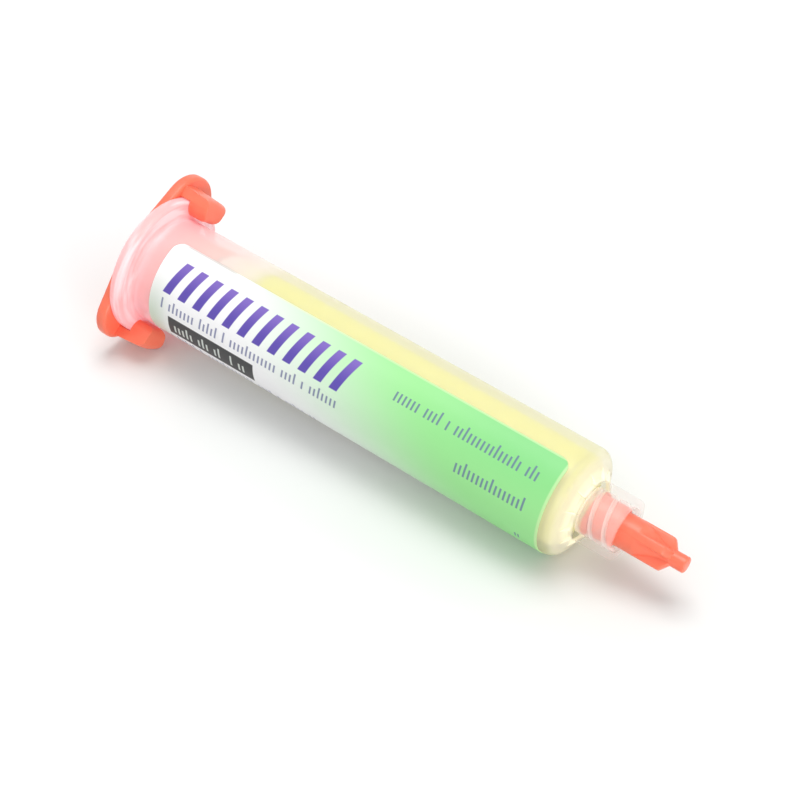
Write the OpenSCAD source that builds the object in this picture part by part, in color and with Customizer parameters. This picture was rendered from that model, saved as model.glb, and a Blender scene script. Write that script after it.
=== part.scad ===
// Flux syringe: a 10 millilitre dispensing barrel with its piston, gel filling, wrapped label,
// clip-on rear cap and finned nozzle cap, lying on its flange, one cap ear and its shoulder.
// Every piece is drawn about the local Z axis, nozzle up, with the flange's rear face at Z = 0.
// lie() then lays it down, with the barrel along X, the nozzle toward +X and Z up.

/* [Barrel] */
// Bore of the tube
bore_d = 16.2; // [12:0.1:22]
// Wall of the tube
wall = 1.5; // [1:0.1:2.2]
// Length of the straight tube, from the flange's rear face
tube_len = 88.2; // [60:0.1:130]
// Rounding where the tube turns into the shoulder
shoulder_round = 1.8; // [1:0.1:2.4]
// Height of the whole shoulder, up to the foot of the lock collar
shoulder_h = 2.6; // [2.5:0.1:4]
// Wall of the shoulder, measured along the barrel
front_wall = 1.5; // [1.2:0.1:2]
// Rounding at the front end of the bore
inner_round = 1.2; // [0.8:0.1:1.6]
// How far the bore's straight stretch ends behind the tube's
bore_back = 0.3; // [0:0.1:0.6]

/* [Flange] */
// Width of the flange outside the tube
flange_rim = 3.2; // [2.4:0.1:5]
// Thickness of the flange
flange_t = 2.2; // [1.6:0.1:4]
// Rounding of the flange's two edges
flange_round = 0.5; // [0.2:0.1:0.7]
// Fillet between the tube and the flange
root_fillet = 0.6; // [0.3:0.1:0.8]

/* [Nozzle] */
// Outside diameter of the lock collar
collar_d = 10.8; // [10.2:0.1:12]
// Wall of the lock collar, at the root of its thread
collar_wall = 1.4; // [1:0.1:1.6]
// Length of the lock collar, from the shoulder to its rim
collar_len = 7.5; // [6.5:0.1:10]
// How far the floor inside the collar lies in front of its foot
collar_floor = 0.4; // [0.2:0.1:0.8]
// Rounding and chamfer of the collar's rim
rim_round = 0.3; // [0.1:0.1:0.4]
// Diameter of the tapered nozzle at its end
nozzle_end_d = 3.95; // [3.8:0.01:4.1]
// Taper of the nozzle, as diameter lost for each unit of length
nozzle_taper = 0.06; // [0.04:0.005:0.08]
// How far the nozzle stands out of the collar's rim
nozzle_out = 2.1; // [1:0.1:4]
// Bore through the nozzle
nozzle_bore_d = 2.2; // [1:0.1:2.6]
// Number of thin ribs that brace the collar on the shoulder
brace_count = 12; // [3:1:16]
// Thickness of a brace rib
brace_t = 0.5; // [0.4:0.1:0.8]
// Height of a brace rib on the collar
brace_h = 1.2; // [0.6:0.1:2]
// Gap between the end of a brace rib and the rounding of the shoulder
brace_inset = 0.3; // [0:0.1:0.6]
// Turn of the first brace rib from straight up, toward the side the label faces
brace_turn = 25; // [0:1:90]

/* [Piston] */
// Length of the piston's side, from its rear edge to its front edge
piston_len = 8; // [6:0.1:16]
// Width of each of the piston's two wiping lips
lip_w = 1.2; // [0.8:0.1:2]
// How far the piston's waist lies inside its lips
waist = 0.5; // [0.3:0.1:1]
// Wall of the hollow piston
piston_wall = 1.4; // [1:0.1:2]
// Chamfer round the edge of the piston's nose
nose_edge = 0.6; // [0.3:0.1:1]
// Gap between the piston and the rear cap's plug
piston_rest_gap = 1; // [0.5:0.1:20]

/* [Rear cap] */
// Thickness of the cap's plate
plate_t = 2.2; // [1.6:0.1:4]
// How far each ear reaches outside the flange
ear_over = 4.4; // [3:0.1:6]
// How far the plate's long sides lie inside the flange's edge
plate_inset = 5.5; // [4.8:0.1:6]
// How far the middle of the plate reaches outside the bore
plate_cover = 1.1; // [0.8:0.1:2]
// Length of the plug inside the bore
plug_len = 13; // [6:0.1:20]
// Wall of the hollow plug
plug_wall = 1.3; // [0.8:0.1:2]
// Length of the sealing bead at the plug's end
bead_w = 2; // [1:0.1:4]
// Height of the sealing bead over the rest of the plug
bead_h = 0.35; // [0.2:0.05:0.5]
// Width of each clip
clip_w = 5.7; // [4:0.1:7]
// Sideways shift of each clip from the middle of its ear
clip_shift = 2.8; // [0:0.1:3]
// Thickness of a clip's wall, and rounding of its outer corner
clip_wall = 1.35; // [1:0.05:1.8]
// Length of a clip's hook in front of the flange
hook_len = 3.9; // [3:0.1:5]
// Rounding of a hook's leading corner
hook_round = 1.4; // [0.8:0.1:2]

/* [Nozzle cap] */
// Length of the cap's round base
base_len = 5; // [3.5:0.1:5.5]
// Thickness of a locking lug
lug_t = 0.9; // [0.6:0.1:1.2]
// Angle that a locking lug covers
lug_angle = 60; // [30:1:80]
// Diameter of the cap's body and across its fins
grip_d = 5.8; // [5.6:0.1:6.3]
// How far the round body reaches past the nozzle's end
body_over = 0.5; // [0.4:0.1:2]
// Length of the fins in front of the round body
fin_len = 5.5; // [4:0.1:12]
// Length over which the grooves between the fins run down to the core
groove_len = 4.2; // [1.5:0.1:6]
// Thickness of a fin
fin_t = 1.5; // [0.8:0.1:1.8]
// Number of fins
fin_count = 4; // [3:1:6]
// Turn of the first fin from straight up, toward the side the label faces
fin_turn = 34; // [0:1:90]
// Diameter of the core between the fins, and of the stub in front of them
core_d = 2.75; // [2:0.05:3.2]
// Length of the stub in front of the fins
stub_len = 3; // [1:0.1:5]

/* [Label] */
// Gap from the flange to the label's rear edge
label_rear = 4.3; // [2:0.1:20]
// Gap from the label's front edge to the start of the shoulder
label_back = 0.3; // [0.2:0.1:1]
// Angle that the label covers
label_angle = 159; // [90:1:160]
// Angle from straight up to the label's first edge
label_start = 6.3; // [0:0.1:8]
// Thickness of the label
label_t = 0.1; // [0.05:0.01:0.2]

/* [Clearances] */
// Running gap of the piston and the plug in the bore
bore_fit = 0.05; // [0.02:0.01:0.1]
// Gap between a flat face of a cap and its seat
seat_gap = 0.05; // [0.02:0.01:0.1]
// Gap between a clip and the flange
clip_fit = 0.15; // [0.1:0.01:0.3]
// Gap between a hook and the fillet at the tube's foot
hook_gap = 0.1; // [0.05:0.01:0.3]
// Gap between the nozzle and the cap's socket
socket_fit = 0.05; // [0.03:0.01:0.1]
// Room for the collar's inner thread, between the collar's bore and the nozzle cap's base
thread_room = 0.55; // [0.4:0.01:0.8]
// Gap between a locking lug and the collar's bore
lug_fit = 0.13; // [0.08:0.01:0.3]
// Gap between the nozzle cap's base and the floor inside the collar
base_gap = 0.9; // [0.5:0.1:1.5]
// Room in front of the nozzle's end, inside the cap's socket
socket_room = 0.3; // [0.1:0.1:0.3]
// Gap between the gel and the piston, and between the gel and the nozzle cap
gel_gap = 0.1; // [0.05:0.01:0.3]

/* [Hidden] */
$fn = 96;
// Small and large overlaps, which keep joined shapes and cuts clean
eps = 0.01;
over = 1;

bore_r = bore_d / 2;
tube_r = bore_r + wall;
flange_r = tube_r + flange_rim;

collar_r = collar_d / 2;
collar_bore_r = collar_r - collar_wall;
collar_foot_z = tube_len + shoulder_h;
collar_floor_z = collar_foot_z + collar_floor;
rim_z = collar_foot_z + collar_len;
nozzle_end_z = rim_z + nozzle_out;
nozzle_end_r = nozzle_end_d / 2;
nozzle_bore_r = nozzle_bore_d / 2;
function nozzle_r(z) = nozzle_end_r + (nozzle_end_z - z) * nozzle_taper / 2;

// The shoulder is a rounding of this many degrees and then a shallow cone, outside and inside
shoulder_turn = 80;
cone_start_r = tube_r - shoulder_round * (1 - cos(shoulder_turn));
inner_end_z = tube_len - bore_back;
inner_cone_z = inner_end_z + inner_round * sin(shoulder_turn);
inner_cone_r = bore_r - inner_round * (1 - cos(shoulder_turn));
inner_apex_z = collar_floor_z - front_wall;
brace_end_r = cone_start_r - brace_inset;

plug_r = bore_r - bore_fit;
plug_wall_r = plug_r - bead_h;
piston_rear_z = plug_len + piston_rest_gap;
piston_front_z = piston_rear_z + piston_len;
// The piston's nose is a cone that fits the inside of the shoulder
nose_slope = (inner_apex_z - inner_cone_z) / (inner_cone_r - nozzle_bore_r);

label_rear_z = flange_t + label_rear;
label_front_z = tube_len - label_back;

plate_rear_z = -seat_gap - plate_t;
plate_mid_z = -seat_gap - plate_t / 2;
middle_r = bore_r + plate_cover;
ear_reach = flange_r + ear_over;
ear_r = flange_r - plate_inset;
ear_y = ear_reach - ear_r;
// The plate's straight sides touch the middle circle and the ears at this angle
flank = asin((middle_r - ear_r) / ear_y);
clip_in_r = flange_r + clip_fit;
clip_out_r = clip_in_r + clip_wall;
hook_in_r = tube_r + root_fillet + hook_gap;
hook_z = flange_t + seat_gap;
clip_end_z = hook_z + hook_len;

base_r = collar_bore_r - thread_room;
lug_r = collar_bore_r - lug_fit;
base_z = collar_floor_z + base_gap;
grip_r = grip_d / 2;
core_r = core_d / 2;
body_end_z = nozzle_end_z + body_over;
fin_end_z = body_end_z + fin_len;
cap_end_z = fin_end_z + stub_len;

// The syringe rests on the flange's edge and the start of the shoulder, and one ear touches too
rest_z = flange_t - flange_round;
tilt = atan(flange_rim / (tube_len - rest_z));
lift = sin(tilt) * rest_z + cos(tilt) * flange_r;
ear_low = flange_r + tan(tilt) * (rest_z + seat_gap);
roll = asin((ear_low - ear_r) / ear_y);
rear_x = cos(tilt) * plate_rear_z - sin(tilt) * ear_low;
front_x = cos(tilt) * cap_end_z + sin(tilt) * core_r;
mid_x = (rear_x + front_x) / 2;

// Points of an arc about [x, y], from angle a0 to a1
function arc(x, y, r, a0, a1, steps = 6) =
    [for (i = [0:steps]) let (a = a0 + (a1 - a0) * i / steps) [x + r * cos(a), y + r * sin(a)]];

// Lays a piece down, so that local Z runs to the nozzle and local -X is up
module lie() {
    translate([-mid_x, 0, lift]) rotate([0, 90 + tilt, 0]) children();
}

// The barrel is one moulding: tube, flange, shoulder, brace ribs, nozzle and lock collar
module barrel() {
    outside = concat(
        arc(flange_r - flange_round, flange_round, flange_round, -90, 0),
        arc(flange_r - flange_round, flange_t - flange_round, flange_round, 0, 90),
        arc(tube_r + root_fillet, flange_t + root_fillet, root_fillet, 270, 180),
        arc(tube_r - shoulder_round, tube_len, shoulder_round, 0, shoulder_turn));
    rim = concat(
        [[collar_r, collar_foot_z]],
        arc(collar_r - rim_round, rim_z - rim_round, rim_round, 0, 90),
        [[collar_bore_r + rim_round, rim_z],
         [collar_bore_r, rim_z - rim_round],
         [collar_bore_r, collar_floor_z],
         [nozzle_r(collar_floor_z), collar_floor_z],
         [nozzle_end_r, nozzle_end_z]]);
    inside = concat(
        [[nozzle_bore_r, nozzle_end_z],
         [nozzle_bore_r, inner_apex_z]],
        arc(bore_r - inner_round, inner_end_z, inner_round, shoulder_turn, 0),
        [[bore_r, 0]]);
    color([0.95, 0.94, 0.86, 0.5]) lie() {
        rotate_extrude() polygon(concat(outside, rim, inside));
        for (i = [0:brace_count - 1])
            rotate([0, 0, 180 + brace_turn + i * 360 / brace_count]) brace();
    }
}

// One thin triangular rib between the shoulder and the collar, rooted in both
module brace() {
    root = 0.2;
    sunk = 0.9;
    rotate([90, 0, 0]) translate([0, 0, -brace_t / 2]) linear_extrude(brace_t)
        polygon([[collar_r - root, collar_foot_z - sunk],
                 [brace_end_r, collar_foot_z - sunk],
                 [collar_r - root, collar_foot_z + brace_h]]);
}

// The label is a printed film on one side of the tube, clear of the line on which the tube rests
module label() {
    color([0.66, 0.97, 0.68]) lie()
        rotate([0, 0, 180 + label_start]) translate([0, 0, label_rear_z])
            rotate_extrude(angle = label_angle)
                translate([tube_r, 0]) square([label_t, label_front_z - label_rear_z]);
}

// The gel fills the barrel from the piston's nose to the end of the nozzle
module flux() {
    rear_z = piston_front_z + gel_gap;
    color([0.96, 0.95, 0.72]) lie() rotate_extrude() polygon(concat(
        [[0, rear_z + nose_edge + nose_slope * (bore_r - nose_edge)],
         [bore_r - nose_edge, rear_z + nose_edge],
         [bore_r, rear_z]],
        arc(bore_r - inner_round, inner_end_z, inner_round, 0, shoulder_turn),
        [[nozzle_bore_r, inner_apex_z],
         [nozzle_bore_r, nozzle_end_z - gel_gap],
         [0, nozzle_end_z - gel_gap]]));
}

// The piston is a hollow cup with two wiping lips, open to the rear
module piston() {
    hollow_r = plug_r - waist - piston_wall;
    color([0.97, 0.95, 0.93]) lie() difference() {
        rotate_extrude() polygon([
            [0, piston_rear_z],
            [plug_r, piston_rear_z],
            [plug_r, piston_rear_z + lip_w],
            [plug_r - waist, piston_rear_z + lip_w + waist],
            [plug_r - waist, piston_front_z - lip_w - waist],
            [plug_r, piston_front_z - lip_w],
            [plug_r, piston_front_z],
            [plug_r - nose_edge, piston_front_z + nose_edge],
            [0, piston_front_z + nose_edge + nose_slope * (plug_r - nose_edge)]]);
        translate([0, 0, piston_rear_z - over])
            cylinder(r = hollow_r, h = piston_len - piston_wall + over);
    }
}

// The rear cap is one moulding: plate with two ears, hollow plug and two clips
module end_cap() {
    color([1, 0.42, 0.33]) lie() rotate([0, 0, roll]) {
        translate([0, 0, plate_rear_z]) linear_extrude(plate_t) union() {
            circle(r = middle_r);
            for (side = [0, 180]) rotate(side) plate_half();
        }
        plug();
        for (side = [0, 180]) rotate([0, 0, side]) clip();
    }
}

// Half of the plate: the round ear and the straight sides that run to it from the middle
module plate_half() {
    translate([0, ear_y]) circle(r = ear_r);
    polygon([for (side = [-1, 1]) [side * middle_r * cos(flank), middle_r * sin(flank)],
             for (side = [1, -1]) [side * ear_r * cos(flank), ear_y + ear_r * sin(flank)]]);
}

// The plug is a plain ring inside the bore, with a sealing bead round its end
module plug() {
    rotate_extrude() polygon([
        [plug_wall_r - plug_wall, plate_mid_z],
        [plug_wall_r, plate_mid_z],
        [plug_wall_r, plug_len - bead_w - bead_h],
        [plug_r, plug_len - bead_w],
        [plug_r, plug_len - bead_h],
        [plug_wall_r, plug_len],
        [plug_wall_r - plug_wall, plug_len]]);
}

// A clip is a piece of a hooked ring, cut to its width
module clip() {
    intersection() {
        rotate_extrude() polygon(concat(
            [[clip_in_r, plate_mid_z],
             [clip_out_r, plate_mid_z]],
            arc(clip_out_r - clip_wall, clip_end_z - clip_wall, clip_wall, 0, 90),
            arc(hook_in_r + hook_round, clip_end_z - hook_round, hook_round, 90, 180),
            [[hook_in_r, hook_z],
             [clip_in_r, hook_z]]));
        translate([-clip_shift - clip_w / 2, 0, plate_rear_z])
            cube([clip_w, clip_out_r + over, clip_end_z + over - plate_rear_z]);
    }
}

// The nozzle cap is one moulding: base with two lugs, round body, fins and stub, over a socket
module tip_cap() {
    color([1, 0.42, 0.33]) lie() difference() {
        union() {
            rotate_extrude() polygon([
                [0, base_z],
                [base_r, base_z],
                [base_r, base_z + base_len],
                [grip_r, base_z + base_len],
                [grip_r, body_end_z],
                [core_r, body_end_z + groove_len],
                [core_r, cap_end_z],
                [0, cap_end_z]]);
            for (i = [0:fin_count - 1]) rotate([0, 0, 180 + fin_turn + i * 360 / fin_count]) fin();
            for (side = [0, 180]) rotate([0, 0, side - lug_angle / 2]) lug();
        }
        socket();
    }
}

// One locking lug, a short stretch of a ring round the rear end of the base
module lug() {
    translate([0, 0, base_z]) rotate_extrude(angle = lug_angle)
        translate([grip_r, 0]) square([lug_r - grip_r, lug_t]);
}

// One flat fin with a rounded outer edge
module fin() {
    translate([0, 0, body_end_z - over]) intersection() {
        translate([0, -fin_t / 2, 0]) cube([grip_r, fin_t, fin_len + over]);
        cylinder(r = grip_r, h = fin_len + over);
    }
}

// The tapered hole that fits over the nozzle
module socket() {
    translate([0, 0, base_z - eps])
        cylinder(r1 = nozzle_r(base_z - eps) + socket_fit, r2 = nozzle_end_r + socket_fit,
                 h = nozzle_end_z - base_z + eps);
    translate([0, 0, nozzle_end_z - eps]) cylinder(r = nozzle_end_r + socket_fit, h = socket_room + eps);
}

barrel();
label();
flux();
piston();
end_cap();
tip_cap();
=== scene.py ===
"""A filled 10 millilitre flux syringe that lies on a white surface with both of its caps on."""

from math import atan, pi, radians, tan

import bmesh
import bpy
from mathutils import Matrix, Vector


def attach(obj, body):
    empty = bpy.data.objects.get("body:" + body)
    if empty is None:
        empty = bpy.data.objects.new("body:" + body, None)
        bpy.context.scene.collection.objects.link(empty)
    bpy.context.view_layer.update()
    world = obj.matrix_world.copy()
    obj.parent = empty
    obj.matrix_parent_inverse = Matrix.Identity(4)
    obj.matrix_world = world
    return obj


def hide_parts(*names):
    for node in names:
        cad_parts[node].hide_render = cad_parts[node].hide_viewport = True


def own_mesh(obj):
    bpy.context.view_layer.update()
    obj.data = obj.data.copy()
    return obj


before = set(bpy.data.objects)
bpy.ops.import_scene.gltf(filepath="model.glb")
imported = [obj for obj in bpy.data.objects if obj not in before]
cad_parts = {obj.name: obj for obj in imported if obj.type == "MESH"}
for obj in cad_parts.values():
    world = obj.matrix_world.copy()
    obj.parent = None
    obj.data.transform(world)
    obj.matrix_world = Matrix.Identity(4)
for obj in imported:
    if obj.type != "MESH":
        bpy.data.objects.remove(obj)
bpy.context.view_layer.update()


# ---- Barrel ------------------------------------------------------------------------------------
# One injection moulding in natural, slightly milky polypropylene: tube, round flange, shoulder with
# thin brace ribs, tapered nozzle and the lock collar round it, with a double-start thread inside.

# The pieces are drawn in millimetres about a local Z axis that runs to the nozzle, with -X as up.
# Laid down, the syringe rests on the flange's edge and on the start of the shoulder.
FLANGE_OVER_TUBE = 3.2
REST_SPAN = 86.5
REAR_CENTRE = (-53.3260, 0, 12.8541)
TILT = atan(FLANGE_OVER_TUBE / REST_SPAN)
LAY_DOWN = (Matrix.Scale(0.001, 4) @ Matrix.Translation(REAR_CENTRE)
            @ Matrix.Rotation(pi / 2 + TILT, 4, "Y"))
TURN_STEPS = 144


def bevelled(bm, geom, affect, size, steps, clamp=False):
    """Rounds corners or edges in place."""
    bmesh.ops.bevel(bm, geom=geom, affect=affect, offset_type="OFFSET", offset=size,
                    segments=steps, profile=0.5, clamp_overlap=clamp, material=-1)


def outline(corners, closed=True):
    """A wire through corners of (radius, z) or (radius, z, rounding) in the plane that looks up."""
    bm = bmesh.new()
    verts = [bm.verts.new((-corner[0], 0, corner[1])) for corner in corners]
    ends = verts[1:] + verts[:1] if closed else verts[1:]
    for start, end in zip(verts, ends):
        bm.edges.new((start, end))
    places = [vert.co.copy() for vert in verts]
    for i, corner in enumerate(corners):
        if len(corner) == 3:
            ahead = places[(i + 1) % len(corners)] - places[i]
            bend = (places[i] - places[i - 1]).angle(ahead)
            bevelled(bm, [verts[i]], "VERTICES", corner[2] * tan(bend / 2), 6)
    return bm


def filled(corners):
    """A closed outline and the one face inside it."""
    bm = outline(corners)
    return bm, bmesh.ops.contextual_create(bm, geom=bm.edges[:])["faces"]


def turned(corners, closed=True):
    """A solid turned from an outline about the local Z axis."""
    bm = outline(corners, closed)
    bmesh.ops.spin(bm, geom=bm.verts[:] + bm.edges[:], cent=(0, 0, 0), axis=(0, 0, 1),
                   dvec=(0, 0, 0), angle=2 * pi, steps=TURN_STEPS, use_merge=True)
    bmesh.ops.remove_doubles(bm, verts=bm.verts, dist=1e-4)
    bmesh.ops.recalc_face_normals(bm, faces=bm.faces)
    return bm


def swept(corners, angle, steps, rise=0.0):
    """A closed solid swept from an outline through an angle, rising along Z if it is a helix."""
    bm, face = filled(corners)
    bmesh.ops.spin(bm, geom=face + bm.verts[:] + bm.edges[:], cent=(0, 0, 0), axis=(0, 0, 1),
                   dvec=(0, 0, rise / steps), angle=angle, steps=steps)
    bmesh.ops.recalc_face_normals(bm, faces=bm.faces)
    return bm


def flat(corners, thickness):
    """A flat web of even thickness, from an outline in the plane that looks up."""
    bm, face = filled(corners)
    raised = [g for g in bmesh.ops.extrude_face_region(bm, geom=face)["geom"]
              if isinstance(g, bmesh.types.BMVert)]
    bmesh.ops.translate(bm, vec=(0, thickness, 0), verts=raised)
    bmesh.ops.translate(bm, vec=(0, -thickness / 2, 0), verts=bm.verts)
    bmesh.ops.recalc_face_normals(bm, faces=bm.faces)
    return bm


def spun(bm, angle):
    """The same solid, turned about the local Z axis."""
    bmesh.ops.rotate(bm, verts=bm.verts, cent=(0, 0, 0), matrix=Matrix.Rotation(angle, 3, "Z"))
    return bm


def rounded(bm, size, steps=3):
    """The same solid with its sharp outer edges rounded."""
    sharp = radians(50)
    edges = [e for e in bm.edges if e.is_manifold and e.is_convex and e.calc_face_angle() > sharp]
    bevelled(bm, edges, "EDGES", size, steps, clamp=True)
    return bm


def as_mesh(name, bm):
    """The mesh made from a bmesh, which is freed."""
    mesh = bpy.data.meshes.new(name)
    bm.to_mesh(mesh)
    bm.free()
    return mesh


def placed(name, data):
    """A new object in the scene that holds a mesh, a lamp or a camera."""
    held = bpy.data.objects.new(name, data)
    bpy.context.scene.collection.objects.link(held)
    return held


def joined(base, additions=(), common=()):
    """One closed solid from solids that reach into each other, or the room that they share."""
    held = placed("scratch", as_mesh("scratch", base))
    tools = []
    for solids, operation in ((additions, "UNION"), (common, "INTERSECT")):
        for solid in solids:
            tools.append(placed("scratch", as_mesh("scratch", solid)))
            join = held.modifiers.new("join", "BOOLEAN")
            join.operation, join.solver, join.object = operation, "EXACT", tools[-1]
    whole = held.evaluated_get(bpy.context.evaluated_depsgraph_get())
    bm = bmesh.new()
    bm.from_mesh(whole.to_mesh())
    whole.to_mesh_clear()
    for spare in [held] + tools:
        mesh = spare.data
        bpy.data.objects.remove(spare)
        bpy.data.meshes.remove(mesh)
    bmesh.ops.remove_doubles(bm, verts=bm.verts, dist=1e-4)
    return bm


def moulded(name, bm, material):
    """The finished piece, laid down in its place, with smooth faces between its sharp edges."""
    bmesh.ops.transform(bm, matrix=LAY_DOWN, verts=bm.verts)
    mesh = as_mesh(name, bm)
    mesh.shade_smooth()
    mesh.set_sharp_from_angle(angle=radians(38))
    mesh.materials.append(material)
    return placed(name, mesh)


def ink(red, green, blue):
    """A colour as it looks on a screen, from 0 to 255, turned into linear light."""
    return tuple((c / 12.92 if c <= 0.04045 else ((c + 0.055) / 1.055) ** 2.4)
                 for c in (red / 255, green / 255, blue / 255)) + (1.0,)


class Signal:
    """One output socket of a finish. Arithmetic on it adds Math nodes to that finish."""

    def __init__(self, finish, socket):
        self.finish, self.socket = finish, socket

    def math(self, operation, *values, clamp=False):
        return self.finish.add("Math", {"operation": operation, "use_clamp": clamp},
                               dict(enumerate(values)))

    def __add__(self, other):
        return self.math("ADD", self, other)

    def __radd__(self, other):
        return self.math("ADD", other, self)

    def __sub__(self, other):
        return self.math("SUBTRACT", self, other)

    def __rsub__(self, other):
        return self.math("SUBTRACT", other, self)

    def __mul__(self, other):
        return self.math("MULTIPLY", self, other)

    def __rmul__(self, other):
        return self.math("MULTIPLY", other, self)

    def __truediv__(self, other):
        return self.math("DIVIDE", self, other)

    def __gt__(self, other):
        return self.math("GREATER_THAN", self, other)

    def rise(self, low, high):
        """A smooth step from 0 at low to 1 at high."""
        return self.finish.add("MapRange", {"interpolation_type": "SMOOTHSTEP"},
                               {"Value": self, "From Min": low, "From Max": high})


class Finish:
    """The nodes of a material or of the world, and the one method that adds them."""

    def __init__(self, owner):
        owner.use_nodes = True
        self.owner, self.tree = owner, owner.node_tree
        self.tree.nodes.clear()

    def add(self, kind, settings={}, inputs={}, output=0):
        node = self.tree.nodes.new("ShaderNode" + kind)
        for setting, value in settings.items():
            if setting == "stops":
                ramp = node.color_ramp
                while len(ramp.elements) < len(value):
                    ramp.elements.new(0.5)
                for element, (place, colour) in zip(ramp.elements, value):
                    element.position, element.color = place, colour
            else:
                setattr(node, setting, value)
        for key, value in inputs.items():
            if isinstance(value, Signal):
                self.tree.links.new(value.socket, node.inputs[key])
            else:
                node.inputs[key].default_value = value
        return Signal(self, node.outputs[output]) if len(node.outputs) else None

    def mix(self, share, first, second):
        """A blend of two colours, through sockets that only their numbers tell apart."""
        return self.add("Mix", {"data_type": "RGBA"}, {0: share, 6: first, 7: second}, output=2)

    def split(self, vector):
        """The three parts of a vector."""
        node = self.add("SeparateXYZ", inputs={"Vector": vector}).socket.node
        return [Signal(self, part) for part in node.outputs]

    def place(self):
        """Millimetres in the frame that the pieces are drawn in, with Z along the barrel."""
        drawn = LAY_DOWN.inverted()
        return self.add("Mapping", {"vector_type": "POINT"}, {
            "Vector": self.add("TexCoord", output="Object"), "Location": drawn.translation,
            "Rotation": drawn.to_euler(), "Scale": drawn.to_scale()})

    def noise(self, size, detail, place=None):
        """Soft noise whose patches are about size millimetres across."""
        return self.add("TexNoise", inputs={"Vector": place or self.place(), "Scale": 1 / size,
                                            "Detail": detail})

    def bump(self, height, strength, distance):
        return self.add("Bump", inputs={"Height": height, "Strength": strength,
                                        "Distance": distance})

    def plastic(self, inputs):
        surface = self.add("BsdfPrincipled", inputs=inputs)
        self.add("OutputMaterial", inputs={"Surface": surface})
        return self.owner


TUBE_RADIUS = 9.6
BORE_RADIUS = 8.1
BORE_FRONT = 88.9
FLANGE_RADIUS = 12.8
FLANGE_THICKNESS = 2.2
SHOULDER_REAR = 89.72
SHOULDER_FRONT = 90.8
SHOULDER_SLOPE = 0.257
COLLAR_RADIUS = 5.4
COLLAR_BORE = 4.0
COLLAR_FLOOR = 91.2
COLLAR_RIM = 98.3
NOZZLE_FOOT_RADIUS = 2.251
NOZZLE_END_RADIUS = 1.975
NOZZLE_END = 100.4
NOZZLE_BORE = 1.1
NOZZLE_BORE_REAR = 89.7
barrel_body = turned([
    (BORE_RADIUS, 0), (FLANGE_RADIUS, 0, 0.5), (FLANGE_RADIUS, FLANGE_THICKNESS, 0.5),
    (TUBE_RADIUS, FLANGE_THICKNESS, 0.6), (TUBE_RADIUS, SHOULDER_REAR, 1.8),
    (COLLAR_RADIUS, SHOULDER_FRONT, 0.25), (COLLAR_RADIUS, COLLAR_RIM, 0.3),
    (COLLAR_BORE, COLLAR_RIM, 0.3), (COLLAR_BORE, COLLAR_FLOOR),
    (NOZZLE_FOOT_RADIUS, COLLAR_FLOOR, 0.2), (NOZZLE_END_RADIUS, NOZZLE_END, 0.15),
    (NOZZLE_BORE, NOZZLE_END, 0.1), (NOZZLE_BORE, NOZZLE_BORE_REAR, 0.3),
    (BORE_RADIUS, BORE_FRONT, 1.2)])

THREAD_LEAD = 5.08
THREAD_TURNS = 1.06
THREAD_STARTS = (-53, 127)
THREAD_REAR = 92.0
THREAD_ROOT = 4.06
THREAD_CREST = 3.52
thread_section = [
    (THREAD_ROOT, THREAD_REAR - 0.45), (THREAD_ROOT, THREAD_REAR + 0.45),
    (THREAD_CREST, THREAD_REAR + 0.15), (THREAD_CREST, THREAD_REAR - 0.15)]
ridges = [spun(swept(thread_section, 2 * pi * THREAD_TURNS, 96, THREAD_LEAD * THREAD_TURNS),
               radians(start)) for start in THREAD_STARTS]

RIB_COUNT = 12
RIB_THICKNESS = 0.25
RIB_TURN = radians(25)
RIB_REAR = 89.9
RIB_ROOT = 5.2
ribs = spun(flat([(RIB_ROOT, RIB_REAR), (7.81, RIB_REAR), (RIB_ROOT, 92.0)], RIB_THICKNESS),
            RIB_TURN)
bmesh.ops.spin(ribs, geom=ribs.verts[:] + ribs.edges[:] + ribs.faces[:], cent=(0, 0, 0),
               axis=(0, 0, 1), dvec=(0, 0, 0), angle=2 * pi * (RIB_COUNT - 1) / RIB_COUNT,
               steps=RIB_COUNT - 1, use_duplicate=True)

milky = Finish(bpy.data.materials.new("natural_polypropylene"))
x, y, z = milky.split(milky.place())
radius = z.math("SQRT", x * x + y * y)
turn = z.math("ARCTAN2", 0 - y, 0 - x)

# Streaks that run round the flange, where the wall is whiter and more opaque
rings = milky.add("CombineXYZ", inputs={0: radius * 0.6, 1: turn * 1.1, 2: z * 0.6})
streaks = milky.noise(1.0, 2, rings).rise(0.38, 0.62)

in_flange = 1 - z.rise(1.6, 4.5)
in_collar = z.rise(91.25, 92.0)
on_foot = z.rise(89.4, 90.2) * (1 - in_collar)
painted_glow_ring = z.rise(90.25, 90.65) * (1 - z.rise(91.25, 91.8))
on_thread = in_collar * (1 - radius.rise(3.93, 4.03))
rib_painted_light = (z + SHOULDER_SLOPE * radius).rise(92.25, 92.4) * radius.rise(5.45, 5.6)

# The tint along the barrel is painted light scattered in the plastic: pink from the rear cap and
# then cream from the gel. Its places are z / 100
tint = milky.add("ValToRGB", {"stops": [
    (0.00, ink(255, 216, 214)), (0.04, ink(255, 222, 218)), (0.16, ink(255, 238, 232)),
    (0.215, ink(250, 245, 226)), (0.25, ink(246, 242, 198)), (0.89, ink(247, 243, 200)),
    (0.92, ink(255, 246, 240))]}, {"Fac": z / 100})
tint = milky.mix(streaks * in_flange * 0.8, tint, ink(255, 246, 246))

# Painted glow, an emission for light scattered in the plastic: pink over the rear cap's plug, cream
# over the piston, none over the gel, and cream round the collar's foot, which lightens the shade in
# that corner
painted_glow = milky.mix(z.rise(4, 16), (0.18, 0.045, 0.07, 1), (0.09, 0.075, 0.06, 1))
painted_glow = milky.mix(z.rise(21, 26), painted_glow, (0, 0, 0, 1))

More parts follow.
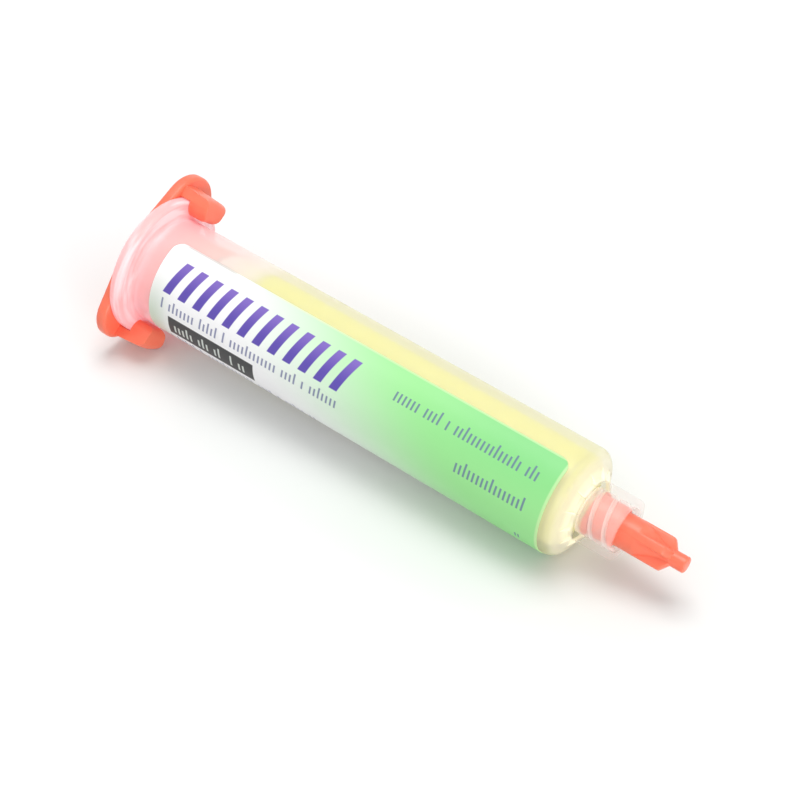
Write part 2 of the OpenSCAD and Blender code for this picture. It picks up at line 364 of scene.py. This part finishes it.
milky_plastic = milky.plastic({
    # The ribs are painted paler than the wall, which lightens the shade on their flanks
    "Base Color": milky.mix(rib_painted_light, tint, ink(255, 252, 228)),
    "Roughness": 0.26 + 0.08 * milky.noise(2.5, 2),
    "IOR": 1.49,
    "Specular IOR Level": 0.35,
    "Emission Color": milky.mix(painted_glow_ring, painted_glow, (0.19, 0.175, 0.13, 1)),
    "Emission Strength": 1.0,
    "Alpha": 0.48 + in_flange * (0.1 + 0.2 * streaks) + 0.02 * z.rise(19, 24)
             + 0.2 * on_foot + in_collar * (0.42 * on_thread - 0.35),
    "Subsurface Weight": 0.3,
    "Subsurface Radius": (1.0, 0.9, 0.85),
    "Subsurface Scale": 0.002,
})
barrel = moulded("barrel_moulding", joined(barrel_body, [ribs] + ridges), milky_plastic)
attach(barrel, "barrel")
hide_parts("barrel")


# ---- Flux gel ----------------------------------------------------------------------------------
# A pale yellow tacky gel that fills the bore with no air left in it. In the syringe the column
# behind the shoulder shortens as the piston pushes; here it is drawn at full length on a mesh of
# its own, and the front part stays in the shoulder and the nozzle.

GEL_RADIUS = 8.12
GEL_CHANNEL = 1.11
GEL_FRONT = 100.3
GEL_REAR = [(0, 23.9), (7.5, 22.75), (GEL_RADIUS, 22.1)]
# The seam between the column and the front part, shaped to clear the piston's nose at its limit
SEAM = [(GEL_RADIUS, 87.9), (7.5, 88.25), (0, 88.98)]
FRONT = [(GEL_RADIUS, 88.92, 1.0), (GEL_CHANNEL, 89.72, 0.3), (GEL_CHANNEL, GEL_FRONT),
         (0, GEL_FRONT)]

gel = Finish(bpy.data.materials.new("flux_gel"))
gel_flesh = gel.plastic({
    "Base Color": gel.mix(gel.noise(7, 4), ink(249, 246, 150), ink(247, 242, 142)),
    "Roughness": 0.35,
    "IOR": 1.45,
    # A faint painted glow, an emission that lightens the gel's shaded sides
    "Emission Color": (0.07, 0.06, 0.04, 1),
    "Emission Strength": 1.0,
    "Subsurface Weight": 0.6,
    "Subsurface Radius": (1.0, 0.95, 0.5),
    "Subsurface Scale": 0.004,
})
column = moulded("gel_column", turned(GEL_REAR + SEAM, closed=False), gel_flesh)
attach(column, "barrel")
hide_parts("flux")
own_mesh(column)
front = moulded("gel_front", turned(SEAM[::-1] + FRONT, closed=False), gel_flesh)
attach(front, "barrel")
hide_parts("flux")


# ---- Label -------------------------------------------------------------------------------------
# A thin printed film stuck on one side of the tube, with rounded corners. Its print runs from white
# to mint green, with plain bars where a real one carries its words.

LABEL_LENGTH = 81.4
LABEL_WIDTH = 26.9
LABEL_CORNER = 2.0
LABEL_REAR = 6.5
LABEL_START = radians(6.3)
LABEL_RADIUS = 9.605
LABEL_OUTER_RADIUS = 9.7
LABEL_FILM = 0.095
LABEL_STRIPS = 90

film = bmesh.new()
bmesh.ops.create_grid(film, x_segments=1, y_segments=1, size=0.5,
                      matrix=Matrix.Diagonal((LABEL_LENGTH, LABEL_WIDTH, 1, 1)))
bevelled(film, film.verts[:], "VERTICES", LABEL_CORNER, 8)
sheet = film.loops.layers.uv.new("sheet")
for face in film.faces:
    for loop in face.loops:
        loop[sheet].uv = (loop.vert.co.x / LABEL_LENGTH + 0.5, 0.5 - loop.vert.co.y / LABEL_WIDTH)
for i in range(1, LABEL_STRIPS):
    bmesh.ops.bisect_plane(film, geom=film.verts[:] + film.edges[:] + film.faces[:], dist=1e-5,
                           plane_co=(0, LABEL_WIDTH * (i / LABEL_STRIPS - 0.5), 0),
                           plane_no=(0, 1, 0))
for vert in film.verts:
    angle = LABEL_START + (LABEL_WIDTH / 2 - vert.co.y) / LABEL_OUTER_RADIUS
    axial = LABEL_REAR + LABEL_LENGTH / 2 + vert.co.x
    vert.co = Matrix.Rotation(angle, 3, "Z") @ Vector((-LABEL_RADIUS, 0, axial))
bmesh.ops.recalc_face_normals(film, faces=film.faces)
outward = sum(face.normal.dot(face.calc_center_median() * Vector((1, 1, 0)))
              for face in film.faces)
if outward < 0:
    bmesh.ops.reverse_faces(film, faces=film.faces)
bmesh.ops.solidify(film, geom=film.faces[:], thickness=-LABEL_FILM)

# Millimetres on the sheet: along it from the flange, and below its upper edge
printed = Finish(bpy.data.materials.new("printed_film"))
across, down, _ = printed.split(printed.add("UVMap", {"uv_map": "sheet"}))
along = across * LABEL_LENGTH
below = down * LABEL_WIDTH
PRINT_EDGE = 0.08


def band(value, low, high, soft=PRINT_EDGE):
    """1 between low and high, with soft edges."""
    return value.rise(low - soft, low + soft) * (1 - value.rise(high - soft, high + soft))


def bars(start, end, top, bottom, pitch, fill, seed=0, breaks=0, slant=0.0):
    """A row of upright strokes. Breaks is the share left out, and with it their height varies."""
    place = (along - start + slant * (below - bottom)) / pitch
    cell = place.math("FLOOR", place)
    stroke = band(place - cell, 0.5 - fill / 2, 0.5 + fill / 2, PRINT_EDGE / pitch)
    count = round((end - start) / pitch)
    row = band(below, top, bottom) * (place > 0) * ((count - place) > 0)
    if breaks:
        chance = printed.add("TexWhiteNoise", {"noise_dimensions": "1D"}, {"W": cell + seed})
        short_by = (bottom - top) * 0.3 * (1 - (chance > 0.7))
        row = row * (chance > breaks) * ((below - top) > short_by)
    return stroke * row


# Start, end, top, bottom, pitch, fill, seed and breaks of each row of small print
SMALL_PRINT = [
    (2.4, 41.4, 10.3, 12.3, 0.86, 0.42, 3, 0.16),
    (3.4, 36.4, 18.2, 20.1, 0.86, 0.42, 11, 0.18),
    (49.9, 78.4, 3.5, 5.8, 0.86, 0.40, 27, 0.16),
    (64.4, 78.4, 8.8, 11.2, 0.86, 0.42, 35, 0.06),
    (76.9, 78.4, 16.7, 17.9, 0.60, 0.50),
]
small_print = bars(*SMALL_PRINT[0])
for row in SMALL_PRINT[1:]:
    small_print = small_print.math("MAXIMUM", small_print, bars(*row))
heading = bars(1.6, 41.2, 3.0, 9.3, 3.3, 0.5, slant=0.3)
violet = printed.mix(below.rise(3, 8), ink(126, 100, 190), ink(92, 74, 172))
box = band(along, 4.4, 23.4) * band(below, 13.3, 17.5)
box_strokes = box * bars(5.4, 22.6, 14.2, 16.6, 0.9, 0.42, 51, 0.14)

mint = (along - 1.3 * (below - 8)).rise(14, 62)
deep_mint = along.rise(48, 76) * (1 - below.rise(2, 12))
# Painted shade: a greyer green low on the label's rear end
rear_shade = (1 - along.rise(0.5, 6)) * below.rise(4, 16)
upper_margin = along.rise(18, 26) * (1 - below.rise(0.25, 0.4))
margin = 1 - (1 - upper_margin) * (1 - along.rise(80.8, 81.1))
# A thin grey-brown line along the upper edge near the rear end
top_edge_line = band(along, 2, 13, 1) * (1 - below.rise(0.2, 0.5))
paper = ink(250, 250, 251)
for share, colour in (
        (mint, ink(154, 228, 146)),
        (deep_mint * 0.7, ink(122, 208, 126)),
        (rear_shade * 0.7, ink(188, 214, 184)),
        (heading, violet),
        (small_print * 0.85, ink(96, 104, 150)),
        (box, ink(50, 50, 52)),
        (box_strokes * 0.85, ink(226, 232, 226)),
        (margin * 0.4, ink(238, 250, 196)),
        (top_edge_line * 0.5, ink(178, 160, 150))):
    paper = printed.mix(share, paper, colour)
label_film = printed.plastic({
    "Base Color": paper,
    "Roughness": 0.42 + 0.1 * printed.noise(2, 2),
    "IOR": 1.48,
    "Normal": printed.bump(printed.noise(1.1, 2), 0.05, 0.0001),
})
label = moulded("label_film", film, label_film)
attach(label, "barrel")
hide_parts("label")


# ---- Piston ------------------------------------------------------------------------------------
# A hollow cup of white polyethylene behind the gel, with two wiping lips that touch the bore.

HOLLOW_RADIUS = 6.15
LIP_RADIUS = 8.05
WAIST_RADIUS = 7.55
PISTON_REAR = 14
white = Finish(bpy.data.materials.new("white_polyethylene"))
white_plastic = white.plastic({
    "Base Color": white.mix(white.noise(3, 2), ink(247, 243, 238), ink(240, 235, 229)),
    "Roughness": 0.38 + 0.1 * white.noise(1, 2),
    "Subsurface Weight": 0.2,
    "Subsurface Radius": (1.0, 0.8, 0.6),
    "Subsurface Scale": 0.001,
})
piston = moulded("piston_moulding", turned([
    (0, 20.6), (HOLLOW_RADIUS, 20.6, 0.6), (HOLLOW_RADIUS, PISTON_REAR, 0.2),
    (LIP_RADIUS, PISTON_REAR, 0.3), (LIP_RADIUS, 15.2, 0.4), (WAIST_RADIUS, 15.7, 0.4),
    (WAIST_RADIUS, 20.3, 0.4), (LIP_RADIUS, 20.8, 0.4), (LIP_RADIUS, 22.0, 0.2), (7.45, 22.6, 0.3),
    (0, 23.37)], closed=False), white_plastic)
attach(piston, "piston")
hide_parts("piston")


# ---- Rear cap ----------------------------------------------------------------------------------
# One moulding in salmon orange polyethylene: a plate with two round ears, a hollow plug with a
# sealing bead inside the bore, and two clips whose hooks hold the flange.

EAR_TURN = radians(34.2008)
PLATE_MIDDLE = -1.15
PLATE_THICKNESS = 2.2
# Sideways place, place along the line of the ears, and radius of the plate's middle and its ears
DISCS = ((0, 0, 9.2), (-0.5, 10.7, 6.2), (-1.0, -10.5, 5.2))
hull = bmesh.new()
for sideways, outwards, reach in DISCS:
    bmesh.ops.create_cone(hull, cap_ends=True, segments=TURN_STEPS, radius1=reach, radius2=reach,
                          depth=PLATE_THICKNESS,
                          matrix=Matrix.Translation((sideways, outwards, PLATE_MIDDLE)))
wrapped = bmesh.ops.convex_hull(hull, input=hull.verts)
inside = [g for g in wrapped["geom_interior"] if isinstance(g, bmesh.types.BMVert)]
bmesh.ops.delete(hull, geom=inside, context="VERTS")
bmesh.ops.dissolve_limit(hull, angle_limit=radians(0.5), verts=hull.verts, edges=hull.edges)
plate = rounded(hull, 0.6, 5)

PLUG_BORE = 6.4
PLUG_RADIUS = 7.7
PLUG_FRONT = 13.0
BEAD_RADIUS = 8.05
plug = turned([
    (PLUG_BORE, PLATE_MIDDLE), (PLUG_RADIUS, PLATE_MIDDLE), (PLUG_RADIUS, 10.65, 0.3),
    (BEAD_RADIUS, 11.0, 0.3), (BEAD_RADIUS, 12.65, 0.3), (PLUG_RADIUS, PLUG_FRONT, 0.2),
    (PLUG_BORE, PLUG_FRONT, 0.3)])

CLIP_INNER_RADIUS = 12.95
CLIP_WIDTH = 5.7
CLIP_SHIFT = -2.8
HOOK_RADIUS = 10.3
HOOK_REAR = 2.25
HOOK_FRONT = 6.15


def clip():
    """A piece of a hooked ring, cut to a tongue with a round inner end, with its edges rounded."""
    ring = spun(swept([
        (CLIP_INNER_RADIUS, PLATE_MIDDLE), (14.9, PLATE_MIDDLE), (14.3, HOOK_FRONT, 1.35),
        (HOOK_RADIUS, HOOK_FRONT, 1.4), (HOOK_RADIUS, HOOK_REAR), (CLIP_INNER_RADIUS, HOOK_REAR)],
        radians(40), 24), radians(-92))
    tongue = bmesh.new()
    bmesh.ops.create_cube(tongue, size=1, matrix=Matrix.Translation((CLIP_SHIFT, 14.7, 2))
                          @ Matrix.Diagonal((CLIP_WIDTH, 10, 12, 1)))
    upright = [e for e in tongue.edges if abs((e.verts[0].co - e.verts[1].co).z) > 1]
    bevelled(tongue, upright, "EDGES", 2.6, 8)
    return rounded(joined(ring, common=[tongue]), 0.3)


orange = Finish(bpy.data.materials.new("salmon_polyethylene"))
orange_plastic = orange.plastic({
    "Base Color": orange.mix(orange.noise(5, 3), ink(255, 130, 100), ink(254, 114, 84)),
    "Roughness": 0.3 + 0.1 * orange.noise(1.2, 3),
    "IOR": 1.5,
    "Subsurface Weight": 0.35,
    "Subsurface Radius": (1.0, 0.4, 0.25),
    "Subsurface Scale": 0.0014,
    "Normal": orange.bump(orange.noise(2.4, 3), 0.12, 0.0002),
})
rear_cap_solid = spun(joined(plate, [plug, clip(), spun(clip(), pi)]), EAR_TURN)
rear_cap = moulded("rear_cap", rear_cap_solid, orange_plastic)
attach(rear_cap, "end_cap")
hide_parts("end_cap")


# ---- Nozzle cap --------------------------------------------------------------------------------
# One moulding in the same plastic: a round base with two locking lugs inside the collar, a round
# body over the nozzle, four grip fins and a short stub.

SOCKET_RADIUS = 2.025
SOCKET_FRONT = 100.7
BASE_RADIUS = 3.45
BASE_REAR = 92.1
BASE_FRONT = 97.1
BODY_RADIUS = 2.9
STUB_RADIUS = 1.375
STUB_FRONT = 109.4
cap_body = turned([
    (0, SOCKET_FRONT), (SOCKET_RADIUS, SOCKET_FRONT), (SOCKET_RADIUS, NOZZLE_END),
    (2.274, BASE_REAR), (BASE_RADIUS, BASE_REAR, 0.15), (BASE_RADIUS, BASE_FRONT, 0.15),
    (BODY_RADIUS, BASE_FRONT), (BODY_RADIUS, 100.9, 1.2), (STUB_RADIUS, 105.1, 1.2),
    (STUB_RADIUS, STUB_FRONT, 0.25), (0, STUB_FRONT)], closed=False)

FIN_COUNT = 4
FIN_TURN = radians(34)
FIN_THICKNESS = 1.5
FIN_ROOT = 0.3
FIN_REAR = 99.9
FIN_FRONT = 107.0


def fin(angle):
    """A flat fin rooted in the core, with a slanting end and rounded edges."""
    web = flat([(FIN_ROOT, FIN_REAR), (BODY_RADIUS, FIN_REAR), (BODY_RADIUS, 105.8),
                (1.3, FIN_FRONT), (FIN_ROOT, FIN_FRONT)], FIN_THICKNESS)
    return spun(rounded(web, 0.3), angle)


LUG_ROOT = 2.8
LUG_RADIUS = 3.87
LUG_FRONT = 92.9
fins = [fin(FIN_TURN + i * 2 * pi / FIN_COUNT) for i in range(FIN_COUNT)]
lugs = [spun(swept([(LUG_ROOT, BASE_REAR), (LUG_RADIUS, BASE_REAR), (LUG_RADIUS, LUG_FRONT),
                    (LUG_ROOT, LUG_FRONT)], radians(60), 16), radians(start))
        for start in (60, 240)]
nozzle_cap = moulded("nozzle_cap", joined(cap_body, fins + lugs), orange_plastic)
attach(nozzle_cap, "tip_cap")
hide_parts("tip_cap")


# ---- Ground, light and camera ------------------------------------------------------------------
# A white table under a large soft lamp and a white room, seen from the nozzle's side and above.
# Table and room look whiter than the light that they send to the syringe.


def shown(finish):
    """1 for camera, glossy and transmission rays, 0 for all others."""
    camera_ray, glossy_ray, transmission_ray = (
        finish.add("LightPath", output=ray)
        for ray in ("Is Camera Ray", "Is Glossy Ray", "Is Transmission Ray"))
    rays = camera_ray + glossy_ray + transmission_ray
    return rays.math("ADD", rays, 0.0, clamp=True)


table = Finish(bpy.data.materials.new("white_table"))
table_shown = shown(table)
spread = table.add("Mapping", inputs={"Vector": table.add("TexCoord", output="Object"),
                                      "Scale": (0.4, 1, 1)})
away = table.add("VectorMath", {"operation": "LENGTH"}, {0: spread}, output="Value")
# Seen by the camera the table is painted greyer close to the syringe, a painted shade that deepens
# its shadow, and white further out
table_colour_with_painted_shade = table.mix(away.rise(0.014, 0.04), ink(235, 237, 235), ink(253, 253, 253))
table_surface = table.plastic({
    "Base Color": table.mix(table_shown, ink(208, 208, 208), table_colour_with_painted_shade),
    "Emission Color": table.mix(table_shown * away.rise(0.06, 0.5), (0, 0, 0, 1),
                                (0.42, 0.42, 0.42, 1)),
    "Emission Strength": 1.0,
    "Roughness": 1.0,
    "Specular IOR Level": 0.0,
})
ground = bmesh.new()
bmesh.ops.create_grid(ground, x_segments=1, y_segments=1, size=1.5)
table_top = placed("table_top", as_mesh("table_top", ground))
table_top.data.materials.append(table_surface)

world = bpy.data.worlds.new("white_room")
room = Finish(world)
room_light = room.add("Background", inputs={"Color": (1, 1, 1, 1),
                                            "Strength": 0.60 + 0.40 * shown(room)})
room.add("OutputWorld", inputs={"Surface": room_light})
bpy.context.scene.world = world


def lamp(name, place, size, watts):
    """A square soft lamp that faces the syringe."""
    light = bpy.data.lights.new(name, "AREA")
    light.shape, light.size, light.energy = "SQUARE", size, watts
    held = placed(name, light)
    held.location = place
    held.rotation_euler = (-Vector(place)).to_track_quat("-Z", "Y").to_euler()


lamp("overhead_softbox", (-0.06, 0.08, 0.60), 0.36, 1.9)
lamp("end_softbox", (0.54, -0.28, 0.14), 0.24, 1.7)

AIM = Vector((-0.000702, 0.001242, 0.009604))
camera_data = bpy.data.cameras.new("camera")
camera_data.lens, camera_data.sensor_width = 90.16, 36
camera_data.clip_start = 0.01
camera = placed("camera", camera_data)
camera.location = (0.14366, -0.18679, 0.24414)
camera.rotation_euler = (AIM - camera.location).to_track_quat("-Z", "Y").to_euler()
bpy.context.scene.camera = camera
bpy.context.scene.view_settings.view_transform = "Standard"
